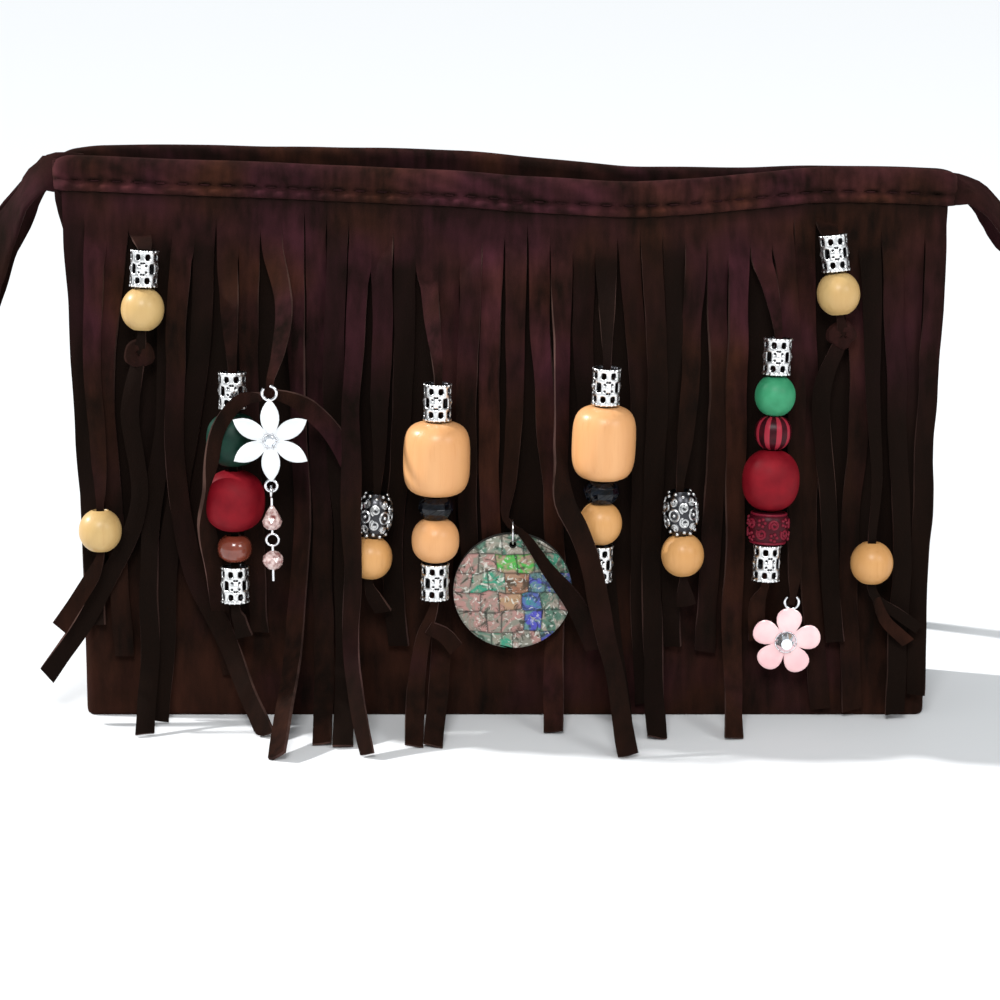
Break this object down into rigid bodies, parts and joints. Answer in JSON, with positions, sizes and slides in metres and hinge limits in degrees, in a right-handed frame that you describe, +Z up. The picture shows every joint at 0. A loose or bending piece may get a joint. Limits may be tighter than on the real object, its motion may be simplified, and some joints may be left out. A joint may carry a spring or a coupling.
{
  "type": "fringe crossbody bag",
  "caption": "Soft suede crossbody pouch with a wide flat base, open hemmed mouth, long loose strap, and a front fringe strung with wood, metal and glass beads and small charms.",
  "frame": {"origin": "centre of the pouch's flat base, on the surface that the bag stands on", "axes": "+X to the right along the front, +Y from the fringed front to the back, +Z up"},
  "size_m": [0.3445, 0.1662, 0.1786],
  "materials": {
    "suede": "matte dark burgundy-brown suede with a short nap",
    "silver": "bright cast silver-tone metal, darkened in its recesses",
    "pale_wood": "pale natural wood, satin",
    "peach_wood": "warm natural wood, satin lacquer",
    "green_wood": "green stained wood, satin",
    "red_wood": "deep red stained wood, satin",
    "red_resin": "dark red resin, carved and striped",
    "amber_glass": "brown glass",
    "black_glass": "black faceted glass",
    "white_enamel": "white enamel on cast metal with a clear stone",
    "pink_enamel": "pale pink enamel on cast metal with a clear stone",
    "rose_crystal": "cut rose crystal on metal pins",
    "shell": "polished iridescent shell mosaic"
  },
  "bodies": {
    "root": {"pouch": "suede", "front_hem": "suede", "back_hem": "suede", "fringe": "suede", "strap": "suede", "upper_left_1_silver_tube": "silver", "upper_left_2_wood_bead": "pale_wood", "left_edge_1_wood_bead": "pale_wood", "left_1_silver_tube": "silver", "left_2_dark_green_bead": "green_wood", "left_3_red_bead": "red_wood", "left_4_amber_bead": "amber_glass", "left_5_silver_tube": "silver", "left_centre_1_silver_oval": "silver", "left_centre_2_wood_bead": "pale_wood", "centre_left_1_silver_tube": "silver", "centre_left_2_wood_barrel": "peach_wood", "centre_left_3_black_spacer": "black_glass", "centre_left_4_wide_wood_bead": "peach_wood", "centre_left_5_silver_tube": "silver", "centre_right_1_silver_tube": "silver", "centre_right_2_wood_barrel": "peach_wood", "centre_right_3_black_spacer": "black_glass", "centre_right_4_wood_bead": "pale_wood", "centre_right_5_silver_tube": "silver", "right_centre_1_silver_oval": "silver", "right_centre_2_wood_bead": "pale_wood", "right_1_silver_tube": "silver", "right_2_green_bead": "green_wood", "right_3_striped_bead": "red_resin", "right_4_red_bead": "red_wood", "right_5_carved_bead": "red_resin", "right_6_silver_tube": "silver", "upper_right_1_silver_tube": "silver", "upper_right_2_wood_bead": "pale_wood", "right_edge_1_wood_bead": "pale_wood", "white_flower": "white_enamel", "pink_flower": "pink_enamel", "crystal_drop": "rose_crystal", "shell_disc": "shell", "bail": "silver"}
  },
  "joints": []
}
